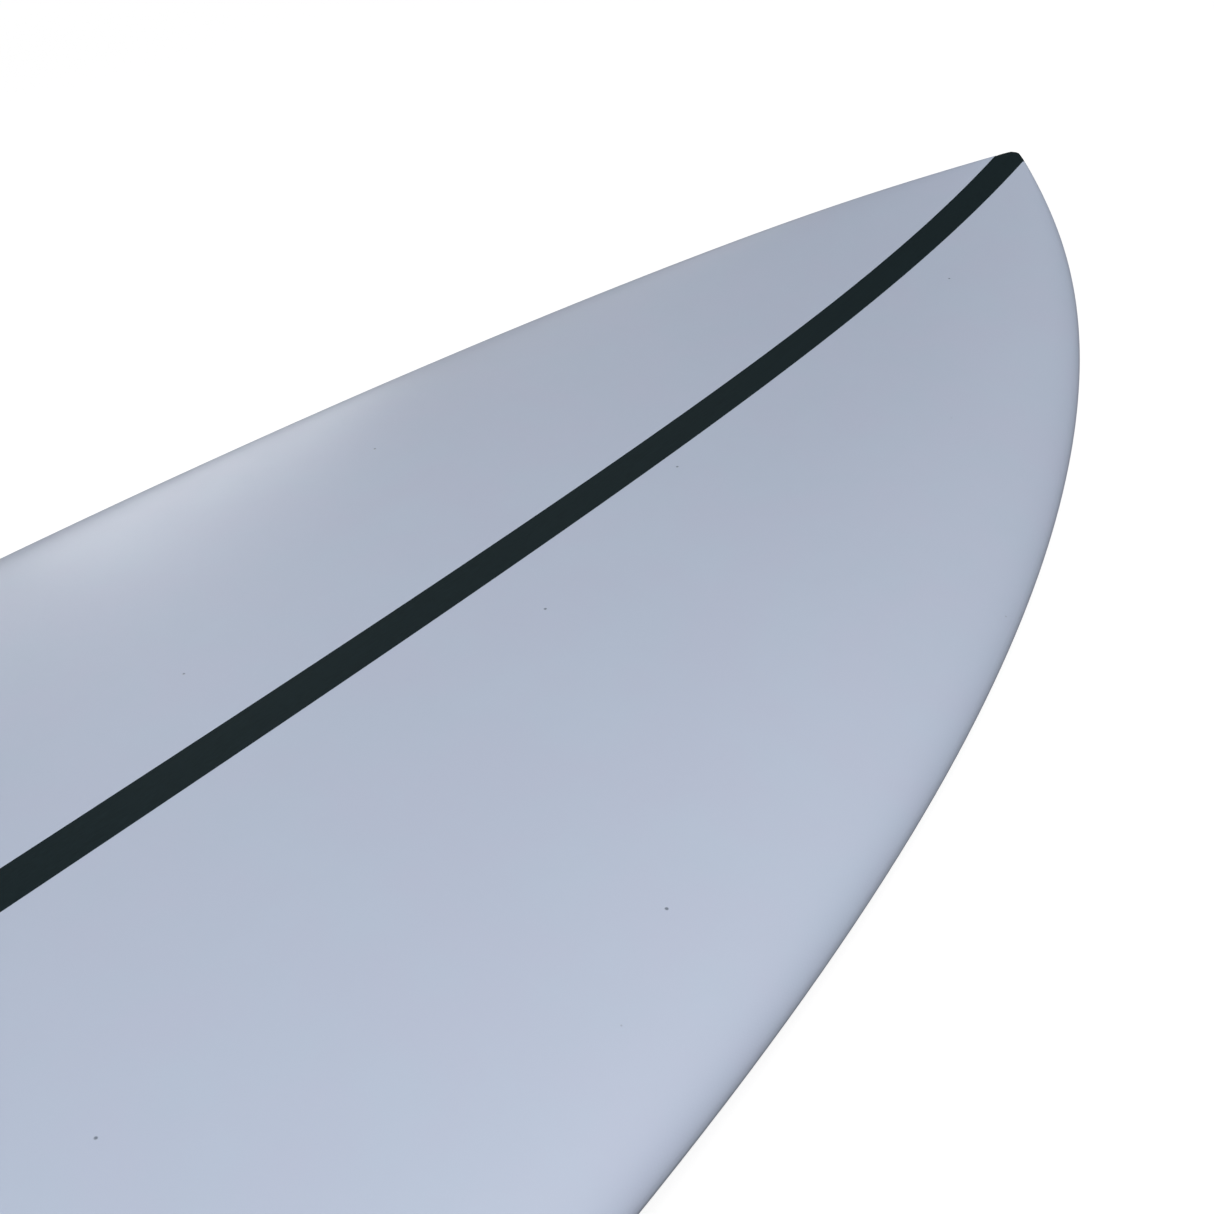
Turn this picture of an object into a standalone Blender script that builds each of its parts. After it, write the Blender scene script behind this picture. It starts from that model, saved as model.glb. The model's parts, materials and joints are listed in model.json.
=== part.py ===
"""Surfboard, 6 ft 4 in, with a flush fibre stringer strip, three removable fins, a leash plug and a vent.

The board is drawn level in its own frame: nose tip at x = 0, tail at x = -LENGTH, +Y to the left,
z = 0 on the flat middle of the bottom. The empty "board_frame" then lays it on a floor, deck up,
resting on its belly and on the tips of the two side fins, with the box's bottom centre at the origin.
Stations are distances back from the nose tip. All lengths are metres.
"""
from math import atan, copysign, cos, exp, pi, radians, sin, sqrt

import bmesh
import bpy
from mathutils import Matrix, Vector

# Outline
LENGTH = 1.930
HALF_WIDTH = 0.2656
TIP_HALF_WIDTH = 0.0015
WIDE_POINT = 0.900
NOSE_POWER, NOSE_FULLNESS = 2.35, 0.737
NOSE_PINCH, PINCH_LENGTH = 0.326, 0.044
TAIL_POWER, TAIL_FULLNESS = 2.4, 0.55

# Rocker: height of the bottom above its flat middle
NOSE_ROCKER, NOSE_CURVE, FLAT_FRONT = 0.0946, 2.60, 1.071
NOSE_FLIP, FLIP_LENGTH = 0.0305, 0.145
TAIL_ROCKER, TAIL_CURVE, FLAT_BACK = 0.055, 2.3, 1.100

# Thickness, and the shape of the cross section
THICKNESS = 0.067
TIP_THICKNESS = 0.004
THICK_POINT = 1.000
FOIL_POWER, NOSE_FOIL_FULLNESS, TAIL_FOIL_FULLNESS = 2.3, 0.97, 0.75
DECK_POWER = 2.3
BELLY_POWER, TAIL_BELLY_POWER = 5.0, 7.0
NOSE_SQUARENESS, SQUARE_LENGTH = 7.0, 0.18
APEX_SHARE, TAIL_APEX_SHARE = 0.42, 0.34
RAIL_CHANGE = (1.0, 1.8)

# Build
GAP = 0.0003
SKIN = 0.0016
CORE_GAP = 0.0004
STRIP_HALF_WIDTH = 0.0105
STRIP_DEPTH = 0.0006
BOTTOM_STRIP_END = 1.715
SPANS = 36
CORE_SPANS = (2, 34)
STRIP_SPANS = (2, 35)
RING_SIDES = 24
ROUND_SIDES, SMALL_ROUND_SIDES = 20, 12
OVERRUN = 0.010
REACH = 0.006

# Fin boxes and fins; a box lies in its own frame, +X towards the nose, +Z into the board
SIDE_FIN_STATION, SIDE_FIN_OFFSET = 1.595, 0.166
CENTRE_FIN_STATION = 1.786
FIN_TOE, FIN_CANT = radians(3.0), radians(6.0)
BOX_HALF_LENGTH, BOX_HALF_WIDTH, BOX_DEPTH = 0.059, 0.0135, 0.0145
BOX_RECESS = 0.0003
INSERT_WALL, INSERT_ROOF = 0.008, 0.003
TAB_OFFSET, TAB_LENGTH, TAB_THICKNESS, TAB_DEPTH = 0.033, 0.024, 0.0065, 0.0115
SCREW_TILT, SCREW_ENTRY = radians(32.0), 0.0086
SCREW_RADIUS, SCREW_POINT_RADIUS, SCREW_LENGTH, SCREW_POINT = 0.0024, 0.0012, 0.0070, 0.0020
SCREW_SUNK = 0.0006
BORE_RADIUS = 0.0029
HEX_RADIUS, HEX_DEPTH = 0.0014, 0.0022
FIN_BASE, FIN_HEIGHT, FIN_SWEEP, FIN_FOIL = 0.110, 0.115, 0.077, 0.062
FIN_TIP, FIN_EDGE = 0.006, 0.04
FIN_ROWS, FOIL_SIDES = 10, 8

# Deck plugs
LEASH_STATION, LEASH_OFFSET = 1.840, 0.042
LEASH_RIM, LEASH_FLANGE, LEASH_BODY, LEASH_DEPTH = 0.016, 0.0012, 0.014, 0.0145
LEASH_BORE, LEASH_FLOOR = 0.0105, 0.0120
BAR_RADIUS, BAR_DEPTH, BAR_SOCKET, BAR_CLEARANCE = 0.002, 0.0045, 0.0022, 0.0004
VENT_STATION, VENT_OFFSET = 1.480, -0.040
VENT_RIM, VENT_FLANGE, VENT_BODY, VENT_DEPTH = 0.011, 0.0014, 0.008, 0.013
VENT_SEAT_RADIUS, VENT_SEAT_DEPTH, VENT_BORE = 0.0063, 0.0043, 0.0040
VENT_HEAD_RADIUS, VENT_HEAD, VENT_SHANK, VENT_SCREW_LENGTH = 0.0059, 0.0018, 0.0035, 0.0105
COIN_SLOT_WIDTH, COIN_SLOT_DEPTH = 0.0016, 0.0011
SEAL_MAJOR, SEAL_MINOR = 0.0048, 0.0008
VENT_ROOM = 0.003

# Colours (red, green, blue), roughness and metallic value of each material
LAMINATE = ((0.42, 0.49, 0.61), 0.32, 0.0)
CARBON = ((0.012, 0.019, 0.021), 0.35, 0.0)
FOAM = ((0.88, 0.88, 0.86), 0.85, 0.0)
DENSE_FOAM = ((0.72, 0.66, 0.46), 0.80, 0.0)
BOX_PLASTIC = ((0.03, 0.03, 0.035), 0.45, 0.0)
FIN_PLASTIC = ((0.03, 0.035, 0.04), 0.28, 0.0)
STEEL = ((0.55, 0.56, 0.58), 0.25, 1.0)
RUBBER = ((0.02, 0.02, 0.02), 0.70, 0.0)


# Shape of the hull

def swell(share, power, fullness):
    """Rise from 0 at a tip (share 0) to 1 at the fullest station (share 1)."""
    return (1.0 - (1.0 - share) ** power) ** fullness


def half_width(station):
    """Half the outline's width."""
    if station < WIDE_POINT:
        rise = swell(station / WIDE_POINT, NOSE_POWER, NOSE_FULLNESS)
        rise *= 1.0 - NOSE_PINCH * exp(-station / PINCH_LENGTH)
    else:
        rise = swell((LENGTH - station) / (LENGTH - WIDE_POINT), TAIL_POWER, TAIL_FULLNESS)
    return max(HALF_WIDTH * rise, TIP_HALF_WIDTH)


def rocker(station):
    """Height of the bottom's centre line."""
    flip = NOSE_FLIP * exp(-station / FLIP_LENGTH)
    if station < FLAT_FRONT:
        return flip + NOSE_ROCKER * (1.0 - station / FLAT_FRONT) ** NOSE_CURVE
    if station > FLAT_BACK:
        return flip + TAIL_ROCKER * ((station - FLAT_BACK) / (LENGTH - FLAT_BACK)) ** TAIL_CURVE
    return flip


def thickness(station):
    """Thickness on the centre line."""
    if station < THICK_POINT:
        rise = swell(station / THICK_POINT, FOIL_POWER, NOSE_FOIL_FULLNESS)
    else:
        rise = swell((LENGTH - station) / (LENGTH - THICK_POINT), FOIL_POWER, TAIL_FOIL_FULLNESS)
    return TIP_THICKNESS + (THICKNESS - TIP_THICKNESS) * rise


def rail_blend(station, front, back):
    """Smooth change of a rail value from its front to its tail amount."""
    share = (station - RAIL_CHANGE[0]) / (RAIL_CHANGE[1] - RAIL_CHANGE[0])
    share = min(max(share, 0.0), 1.0)
    return front + (back - front) * share * share * (3.0 - 2.0 * share)


def apex_height(station):
    """Height of the rail's outermost line above the bottom's centre line."""
    return thickness(station) * rail_blend(station, APEX_SHARE, TAIL_APEX_SHARE)


def deck_power(station):
    """Power of the deck's section: a higher one is flatter, with a fuller rail."""
    return DECK_POWER + NOSE_SQUARENESS * exp(-station / SQUARE_LENGTH)


def belly_power(station):
    """Power of the bottom's section."""
    power = rail_blend(station, BELLY_POWER, TAIL_BELLY_POWER)
    return power + NOSE_SQUARENESS * exp(-station / SQUARE_LENGTH)


def slope(function, station):
    """Rate of change of a shape function along the board."""
    step = 1e-4
    return (function(station + step) - function(station - step)) / (2.0 * step)


def hull_point(station, angle, inset=0.0):
    """Point on the hull, or on a surface inset from it; angle 0 is the left rail, pi / 2 the deck."""
    width = half_width(station)
    if inset:
        width -= inset * sqrt(1.0 + slope(half_width, station) ** 2)
    apex = apex_height(station)
    if sin(angle) >= 0.0:
        height = thickness(station) - apex - inset
        power = deck_power(station)
    else:
        height = apex - inset
        power = belly_power(station)
    across = copysign(abs(cos(angle)) ** (2.0 / power), cos(angle)) * width
    return Vector((-station, across, rocker(station) + apex + height * sin(angle)))


def deck_height(station, across):
    """Height of the deck at a distance from the centre line."""
    rise = sqrt(1.0 - abs(across / half_width(station)) ** deck_power(station))
    apex = apex_height(station)
    return rocker(station) + apex + (thickness(station) - apex) * rise


def belly_height(station, across):
    """Height of the bottom at a distance from the centre line."""
    drop = sqrt(1.0 - abs(across / half_width(station)) ** belly_power(station))
    return rocker(station) + apex_height(station) * (1.0 - drop)


STATIONS = [LENGTH * (1.0 - cos(pi * i / SPANS)) / 2.0 for i in range(SPANS + 1)]
ANGLES = [2.0 * pi * i / RING_SIDES for i in range(RING_SIDES)]


def ring(station, inset=0.0):
    """Closed cross section of the hull."""
    return [hull_point(station, angle, inset) for angle in ANGLES]


def half_ring(station, side):
    """Cross section of the deck half (side 1) or the bottom half (side -1), parted at the rail."""
    parting = rocker(station) + apex_height(station) + side * GAP / 2.0
    points = [hull_point(station, side * pi * i * 2.0 / RING_SIDES) for i in range(RING_SIDES // 2 + 1)]
    for point in points:
        point.z = max(point.z, parting) if side > 0 else min(point.z, parting)
    return points


# Making solids

def clear_scene():
    """Remove whatever the file holds."""
    for thing in list(bpy.data.objects):
        bpy.data.objects.remove(thing, do_unlink=True)


def new_collection(name):
    """Collection linked to the scene."""
    collection = bpy.data.collections.new(name)
    bpy.context.scene.collection.children.link(collection)
    return collection


def mesh_object(name, mesh, is_cutter=False):
    """Object on a mesh, hung on the board; a cutter is hidden and kept with the other cutters."""
    thing = bpy.data.objects.new(name, mesh)
    thing.parent = board_frame
    if is_cutter:
        cutters.objects.link(thing)
        thing.hide_render = True
        thing.display_type = "WIRE"
    else:
        parts.objects.link(thing)
    return thing


def smooth(mesh, sharp_degrees=35.0):
    """Shade smooth, with creases kept."""
    mesh.shade_smooth()
    mesh.set_sharp_from_angle(angle=radians(sharp_degrees))


def loft_mesh(name, rings):
    """Closed mesh through a row of rings of equal length, capped at both ends."""
    shape = bmesh.new()
    rows = [[shape.verts.new(point) for point in points] for points in rings]
    for near, far in zip(rows, rows[1:]):
        for i in range(len(near)):
            j = (i + 1) % len(near)
            shape.faces.new((near[i], near[j], far[j], far[i]))
    shape.faces.new(rows[0])
    shape.faces.new(rows[-1])
    bmesh.ops.recalc_face_normals(shape, faces=shape.faces)
    mesh = bpy.data.meshes.new(name)
    shape.to_mesh(mesh)
    shape.free()
    smooth(mesh)
    return mesh


def prism_mesh(name, outline, low, high):
    """Upright block on a flat outline of (x, y) points."""
    return loft_mesh(name, [[Vector((x, y, z)) for x, y in outline] for z in (low, high)])


def cylinder_mesh(name, radius, low, high, sides):
    """Upright cylinder on the local Z axis."""
    angles = [2.0 * pi * i / sides for i in range(sides)]
    return prism_mesh(name, [(radius * cos(angle), radius * sin(angle)) for angle in angles], low, high)


def box_outline(length, width, x=0.0):
    """Rectangle centred at x."""
    return [(x - length / 2, -width / 2), (x + length / 2, -width / 2),
            (x + length / 2, width / 2), (x - length / 2, width / 2)]


def stadium(half_length, radius, segments=7):
    """Outline with straight sides and round ends."""
    outline = []
    for end in (0, 1):
        for i in range(segments + 1):
            angle = -pi / 2 + pi * (end + i / segments)
            centre = (1 - 2 * end) * (half_length - radius)
            outline.append((centre + radius * cos(angle), radius * sin(angle)))
    return outline


def turned_object(name, profile, closed, sides=ROUND_SIDES):
    """Solid turned about Z from (radius, z) points that run down its outer side."""
    shape = bmesh.new()
    points = [shape.verts.new((radius, 0.0, z)) for radius, z in profile]
    for near, far in zip(points, points[1:]):
        shape.edges.new((near, far))
    if closed:
        shape.edges.new((points[-1], points[0]))
    mesh = bpy.data.meshes.new(name)
    shape.to_mesh(mesh)
    shape.free()
    thing = mesh_object(name, mesh)
    screw = thing.modifiers.new("turn", "SCREW")
    screw.steps = sides
    screw.render_steps = sides
    screw.use_merge_vertices = True
    screw.merge_threshold = 0.00001
    return thing


def boolean(thing, cutter, operation="DIFFERENCE"):
    """Cut a solid by another, or keep or add what they share."""
    modifier = thing.modifiers.new(cutter.name, "BOOLEAN")
    modifier.operation = operation
    modifier.solver = "EXACT"
    modifier.object = cutter


def freeze(thing):
    """Turn an object's modifiers into its mesh."""
    bpy.context.view_layer.update()
    evaluated = thing.evaluated_get(bpy.context.evaluated_depsgraph_get())
    mesh = bpy.data.meshes.new_from_object(evaluated)
    thing.modifiers.clear()
    thing.data = mesh
    mesh.name = thing.name
    smooth(mesh)


def paint(thing, look):
    """Give a sub-part its own material."""
    colour, roughness, metallic = look
    material = bpy.data.materials.new(thing.name)
    material.use_nodes = True
    shader = material.node_tree.nodes["Principled BSDF"]
    shader.inputs["Base Color"].default_value = (*colour, 1.0)
    shader.inputs["Roughness"].default_value = roughness
    shader.inputs["Metallic"].default_value = metallic
    thing.data.materials.clear()
    thing.data.materials.append(material)


# Places on the hull

def belly_frame(station, across, toe, cant):
    """Frame on the bottom: +X along the box towards the nose, +Z into the board."""
    pitch = atan(slope(rocker, station))
    place = Matrix.Translation((-station, across, belly_height(station, across)))
    turn = Matrix.Rotation(toe, 4, "Z") @ Matrix.Rotation(pitch, 4, "Y") @ Matrix.Rotation(cant, 4, "X")
    return place @ turn @ Matrix.Translation((0.0, 0.0, BOX_RECESS))


def deck_frame(station, across):
    """Frame on the deck: +X towards the nose, +Z out of the board, square to the deck."""
    step = 1e-4
    fall = (deck_height(station + step, across) - deck_height(station - step, across)) / (2.0 * step)
    lean = (deck_height(station, across + step) - deck_height(station, across - step)) / (2.0 * step)
    place = Matrix.Translation((-station, across, deck_height(station, across)))
    return place @ Matrix.Rotation(atan(fall), 4, "Y") @ Matrix.Rotation(atan(lean), 4, "X")


# Hull: skins, strips and core

def band_mesh(end, margin):
    """Upright block over the stringer strip from ahead of the nose back to a station."""
    length = end + OVERRUN + margin
    outline = box_outline(length, 2.0 * (STRIP_HALF_WIDTH + margin), OVERRUN - length / 2.0)
    return prism_mesh("strip_band", outline, -OVERRUN, NOSE_ROCKER + NOSE_FLIP + THICKNESS)


def make_hull():
    """Foam core, the two skins and the two stringer strips, before the boxes and plugs are let in."""
    core_rows = STATIONS[CORE_SPANS[0]:CORE_SPANS[1] + 1]
    foam_rows = [core_rows[0] + GAP] + core_rows[1:-1] + [core_rows[-1] - GAP]
    room = mesh_object("core_room", loft_mesh("core_room", [ring(s, SKIN) for s in core_rows]), True)
    core = mesh_object("foam_core", loft_mesh("foam_core", [ring(s, SKIN + CORE_GAP) for s in foam_rows]))

    strip_rows = STATIONS[STRIP_SPANS[0]:STRIP_SPANS[1] + 1]
    web_rows = [strip_rows[0] + GAP] + strip_rows[1:-1] + [strip_rows[-1] - GAP]
    under_strip = mesh_object(
        "under_strip", loft_mesh("under_strip", [ring(s, STRIP_DEPTH) for s in strip_rows]), True)
    web = mesh_object(
        "strip_web", loft_mesh("strip_web", [ring(s, STRIP_DEPTH + GAP) for s in web_rows]), True)

    skins = []
    for side, label, strip_end in ((1, "deck", LENGTH + OVERRUN), (-1, "bottom", BOTTOM_STRIP_END)):
        band = mesh_object(f"{label}_strip_band", band_mesh(strip_end, 0.0), True)
        channel = mesh_object(f"{label}_strip_channel", band_mesh(strip_end, GAP), True)
        boolean(channel, web)
        rings = [half_ring(station, side) for station in STATIONS]
        skin = mesh_object(f"{label}_skin", loft_mesh(f"{label}_skin", rings))
        boolean(skin, room)
        boolean(skin, channel)
        paint(skin, LAMINATE)
        strip = mesh_object(f"{label}_stringer_strip", loft_mesh(f"{label}_stringer_strip", rings))
        boolean(strip, band, "INTERSECT")
        boolean(strip, under_strip)
        paint(strip, CARBON)
        skins.append(skin)
    paint(core, FOAM)
    return core, skins


# Fins and their boxes

def tab_positions():
    """Fore and aft places of the two tabs, by name."""
    return (("front", TAB_OFFSET), ("rear", -TAB_OFFSET))


def screw_frame(x, side):
    """Frame of a grub screw in its box: +Z along the screw and out of the board."""
    mouth = Matrix.Translation((x, side * SCREW_ENTRY, 0.0))
    return mouth @ Matrix.Rotation(pi + side * SCREW_TILT, 4, "X")


def make_box_mesh():
    """Fin box with two tab pockets and two tilted screw bores, screws on its +Y side."""
    outline = stadium(BOX_HALF_LENGTH, BOX_HALF_WIDTH)
    box = mesh_object("fin_box", prism_mesh("fin_box", outline, 0.0, BOX_DEPTH))
    depth = TAB_DEPTH + GAP
    for name, x in tab_positions():
        outline = box_outline(TAB_LENGTH + 2.0 * GAP, TAB_THICKNESS + 2.0 * GAP, x)
        pocket = mesh_object(f"pocket_{name}", prism_mesh(f"pocket_{name}", outline, -REACH, depth), True)
        boolean(box, pocket)
        bottom = -SCREW_SUNK - SCREW_LENGTH - GAP
        mesh = cylinder_mesh(f"bore_{name}", BORE_RADIUS, bottom, REACH, SMALL_ROUND_SIDES)
        bore = mesh_object(f"bore_{name}", mesh, True)
        bore.matrix_basis = screw_frame(x, 1)
        boolean(box, bore)
    freeze(box)
    mesh = box.data
    bpy.data.objects.remove(box)
    return mesh


def make_screw_mesh():
    """Grub screw with a cone point and a hexagon socket; its outer end is at z = -SCREW_SUNK."""
    top = -SCREW_SUNK
    tip = top - SCREW_LENGTH
    profile = [(0.0, top), (SCREW_RADIUS, top), (SCREW_RADIUS, tip + SCREW_POINT),
               (SCREW_POINT_RADIUS, tip), (0.0, tip)]
    screw = turned_object("grub_screw", profile, False, SMALL_ROUND_SIDES)
    socket = cylinder_mesh("hex_socket", HEX_RADIUS, top - HEX_DEPTH, REACH, 6)
    boolean(screw, mesh_object("hex_socket", socket, True))
    freeze(screw)
    mesh = screw.data
    bpy.data.objects.remove(screw)
    return mesh


def foil_half_thickness(share):
    """Half thickness of a foil of unit thickness at a share of its chord from the leading edge."""
    curve = 0.2969 * sqrt(share) - 0.1260 * share - 0.3516 * share ** 2 + 0.2843 * share ** 3
    return 5.0 * (curve - 0.1015 * share ** 4)


def fin_ring(share, flat_side):
    """Fin section at a share of its height; flat_side is 1 or -1 for a flat +Y or -Y face, else 0."""
    chord = max(FIN_BASE * (1.0 - share) ** 0.5 * (1.0 - 0.3 * share), FIN_TIP)
    front = chord / 2.0 - FIN_SWEEP * share ** 1.35
    flat_plane = flat_side * FIN_FOIL * FIN_BASE / 2.0
    points = []
    for i in range(2 * FOIL_SIDES):
        side = 1.0 if i < FOIL_SIDES else -1.0
        along = (1.0 - cos(pi * i / FOIL_SIDES)) / 2.0
        half = max(foil_half_thickness(along), FIN_EDGE) * FIN_FOIL * chord
        across = flat_plane + half * (side - flat_side)
        points.append(Vector((front - along * chord, across, -GAP - FIN_HEIGHT * share)))
    return points


def make_fin(name, flat_side):
    """Swept, foiled fin with two tabs."""
    shares = [sin(pi / 2.0 * i / FIN_ROWS) for i in range(FIN_ROWS + 1)]
    fin = mesh_object(name, loft_mesh(name, [fin_ring(share, flat_side) for share in shares]))
    for label, x in tab_positions():
        outline = box_outline(TAB_LENGTH, TAB_THICKNESS, x)
        mesh = prism_mesh(f"tab_{label}", outline, -2.0 * GAP, TAB_DEPTH)
        boolean(fin, mesh_object(f"{name}_tab_{label}", mesh, True), "UNION")
    freeze(fin)
    paint(fin, FIN_PLASTIC)
    return fin


def make_fin_set(core, bottom_skin):
    """Three fins in their boxes, each box held by a dense foam insert and two grub screws."""
    box_mesh = make_box_mesh()
    screw_mesh = make_screw_mesh()
    core_shape = mesh_object("core_shape", core.data, True)
    roof = BOX_DEPTH + GAP + INSERT_ROOF
    wall = GAP + INSERT_WALL
    insert_outline = stadium(BOX_HALF_LENGTH + wall, BOX_HALF_WIDTH + wall)
    room_outline = stadium(BOX_HALF_LENGTH + GAP, BOX_HALF_WIDTH + GAP)
    hole_outline = stadium(BOX_HALF_LENGTH + wall + GAP, BOX_HALF_WIDTH + wall + GAP)
    fins = {}
    for label, side in (("left", 1), ("centre", 0), ("right", -1)):
        station = SIDE_FIN_STATION if side else CENTRE_FIN_STATION
        frame = belly_frame(station, side * SIDE_FIN_OFFSET, -side * FIN_TOE, side * FIN_CANT)
        screw_side = -1 if side > 0 else 1

        insert = mesh_object(f"fin_insert_{label}", prism_mesh("fin_insert", insert_outline, -REACH, roof))
        room = prism_mesh("box_room", room_outline, -REACH, BOX_DEPTH + GAP)
        room = mesh_object(f"box_room_{label}", room, True)
        hole = prism_mesh("insert_hole", hole_outline, -REACH, roof + GAP)
        hole = mesh_object(f"insert_hole_{label}", hole, True)
        for thing in (insert, room, hole):
            thing.matrix_basis = frame
        boolean(insert, core_shape, "INTERSECT")
        boolean(insert, room)
        boolean(core, hole)
        boolean(bottom_skin, room)
        paint(insert, DENSE_FOAM)

        box = mesh_object(f"fin_box_{label}", box_mesh.copy())
        box.matrix_basis = frame @ Matrix.Rotation(pi if screw_side < 0 else 0.0, 4, "Z")
        paint(box, BOX_PLASTIC)
        for place, x in tab_positions():
            screw = mesh_object(f"grub_screw_{label}_{place}", screw_mesh.copy())
            screw.matrix_basis = frame @ screw_frame(x, screw_side)
            paint(screw, STEEL)
        fins[label] = make_fin(f"fin_{label}", -side)
        fins[label].matrix_basis = frame
    return fins


# Leash plug and vent plug

def make_leash_plug(core, deck_skin):
    """Cup let into the deck, with a steel bar across it that a leash cord loops round."""
    frame = deck_frame(LEASH_STATION, LEASH_OFFSET)
    profile = [(0.0, -LEASH_FLOOR), (LEASH_BORE, -LEASH_FLOOR), (LEASH_BORE, 0.0), (LEASH_RIM, 0.0),
               (LEASH_RIM, -LEASH_FLANGE), (LEASH_BODY, -LEASH_FLANGE), (LEASH_BODY, -LEASH_DEPTH),
               (0.0, -LEASH_DEPTH)]
    cup = turned_object("leash_plug_cup", profile, False)
    end = LEASH_BORE + BAR_SOCKET
    across = Matrix.Translation((0.0, 0.0, -BAR_DEPTH)) @ Matrix.Rotation(pi / 2.0, 4, "X")
    socket = cylinder_mesh("bar_socket", BAR_RADIUS + BAR_CLEARANCE, -end, end, SMALL_ROUND_SIDES)
    socket = mesh_object("bar_socket", socket, True)
    socket.matrix_basis = across
    boolean(cup, socket)
    freeze(cup)
    cup.matrix_basis = frame
    paint(cup, BOX_PLASTIC)

    bar = cylinder_mesh("leash_plug_bar", BAR_RADIUS, GAP - end, end - GAP, SMALL_ROUND_SIDES)
    bar = mesh_object("leash_plug_bar", bar)
    bar.matrix_basis = frame @ across
    paint(bar, STEEL)
    let_in(core, deck_skin, frame, "leash", LEASH_RIM, LEASH_BODY, LEASH_DEPTH)


def make_vent_plug(core, deck_skin):
    """Threaded bush through the deck that lets the foam's air out, closed by a screw on a seal ring."""
    frame = deck_frame(VENT_STATION, VENT_OFFSET)
    profile = [(VENT_BORE, -VENT_SEAT_DEPTH), (VENT_SEAT_RADIUS, -VENT_SEAT_DEPTH), (VENT_SEAT_RADIUS, 0.0),
               (VENT_RIM, 0.0), (VENT_RIM, -VENT_FLANGE), (VENT_BODY, -VENT_FLANGE),
               (VENT_BODY, -VENT_DEPTH), (VENT_BORE, -VENT_DEPTH)]
    body = turned_object("vent_plug_body", profile, True)
    freeze(body)
    body.matrix_basis = frame
    paint(body, BOX_PLASTIC)

    ring_z = -VENT_SEAT_DEPTH + GAP + SEAL_MINOR
    head_low = ring_z + SEAL_MINOR + GAP
    head_top = head_low + VENT_HEAD
    profile = [(0.0, head_top), (VENT_HEAD_RADIUS, head_top), (VENT_HEAD_RADIUS, head_low),
               (VENT_SHANK, head_low), (VENT_SHANK, head_top - VENT_SCREW_LENGTH),
               (0.0, head_top - VENT_SCREW_LENGTH)]
    screw = turned_object("vent_plug_screw", profile, False)
    outline = box_outline(2.0 * VENT_RIM, COIN_SLOT_WIDTH)
    slot = prism_mesh("coin_slot", outline, head_top - COIN_SLOT_DEPTH, REACH)
    boolean(screw, mesh_object("coin_slot", slot, True))
    freeze(screw)
    screw.matrix_basis = frame
    paint(screw, STEEL)

    bpy.ops.mesh.primitive_torus_add(major_radius=SEAL_MAJOR, minor_radius=SEAL_MINOR,
                                     major_segments=ROUND_SIDES, minor_segments=8)
    torus = bpy.context.object
    seal = mesh_object("vent_plug_seal", torus.data)
    bpy.data.objects.remove(torus)
    smooth(seal.data)
    seal.matrix_basis = frame @ Matrix.Translation((0.0, 0.0, ring_z))
    paint(seal, RUBBER)
    let_in(core, deck_skin, frame, "vent", VENT_RIM, VENT_BODY, VENT_DEPTH + VENT_ROOM)


def let_in(core, deck_skin, frame, label, rim, body, depth):
    """Cut a plug's flange into the deck skin and its barrel into the foam."""
    flange = cylinder_mesh(f"{label}_flange_hole", rim + 2.0 * GAP, -REACH, REACH, ROUND_SIDES)
    barrel = cylinder_mesh(f"{label}_barrel_hole", body + 2.0 * GAP, -depth - GAP, REACH, ROUND_SIDES)
    for target, mesh in ((deck_skin, flange), (core, barrel)):
        cutter = mesh_object(mesh.name, mesh, True)
        cutter.matrix_basis = frame
        boolean(target, cutter)


# Resting place

def lay_down(fins):
    """Turn the board nose down until belly and side-fin tips touch one floor, and centre it there."""
    hull = [point for station in STATIONS for point in ring(station)]
    tips = [fin.matrix_basis @ vertex.co for fin in fins for vertex in fin.data.vertices]
    low, high = 0.0, radians(20.0)
    for _ in range(40):
        pitch = (low + high) / 2.0
        turn = Matrix.Rotation(pitch, 4, "Y")
        if min((turn @ point).z for point in hull) > min((turn @ point).z for point in tips):
            low = pitch
        else:
            high = pitch
    points = [turn @ point for point in hull + tips]
    middle = (min(point.x for point in points) + max(point.x for point in points)) / 2.0
    floor = min(point.z for point in points)
    board_frame.matrix_basis = Matrix.Translation((-middle, 0.0, -floor)) @ turn


clear_scene()
parts = new_collection("surfboard")
cutters = new_collection("cutters")
board_frame = bpy.data.objects.new("board_frame", None)
parts.objects.link(board_frame)
foam_core, (top_skin, belly_skin) = make_hull()
fin_set = make_fin_set(foam_core, belly_skin)
make_leash_plug(foam_core, top_skin)
make_vent_plug(foam_core, top_skin)
lay_down(fin_set.values())
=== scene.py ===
"""Looks of the surfboard: fine laminates, stringer strips, fins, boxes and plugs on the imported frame.

The hull's shape functions are the ones the CAD model uses. A station is a distance back from the nose
tip, and the board frame has the nose tip at x = 0, +Y to the left and z = 0 on the flat middle of the
bottom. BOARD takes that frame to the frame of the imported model. All lengths are metres.
"""
import json
from math import atan, atan2, copysign, cos, exp, pi, radians, sin, sqrt

import bmesh
import bpy
from mathutils import Matrix, Vector


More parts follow.
